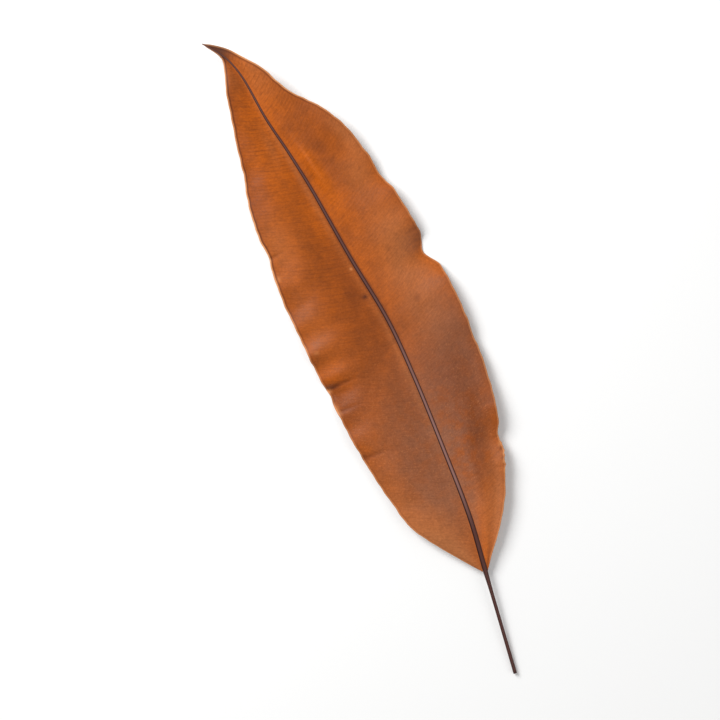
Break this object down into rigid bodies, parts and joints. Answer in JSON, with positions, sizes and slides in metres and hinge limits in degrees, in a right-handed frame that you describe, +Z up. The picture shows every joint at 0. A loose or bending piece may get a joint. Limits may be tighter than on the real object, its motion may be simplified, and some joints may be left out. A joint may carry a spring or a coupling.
{
  "type": "preserved tropical leaf",
  "caption": "Long lance-shaped dried leaf with a raised midrib, waved edges, a drawn-out hooked tip and a thin cut stalk, lying face up.",
  "frame": {"origin": "under the middle of the leaf's box, on the surface that it lies on", "axes": "+Y along the leaf from stalk to tip, +X to the right of the leaf seen from above, +Z up out of its face"},
  "size_m": [0.0856, 0.3742, 0.0141],
  "materials": {
    "leaf_skin": "satin, rust-orange, with a dark purple-brown midrib and stalk"
  },
  "bodies": {
    "root": {"leaf": "leaf_skin"}
  },
  "joints": []
}
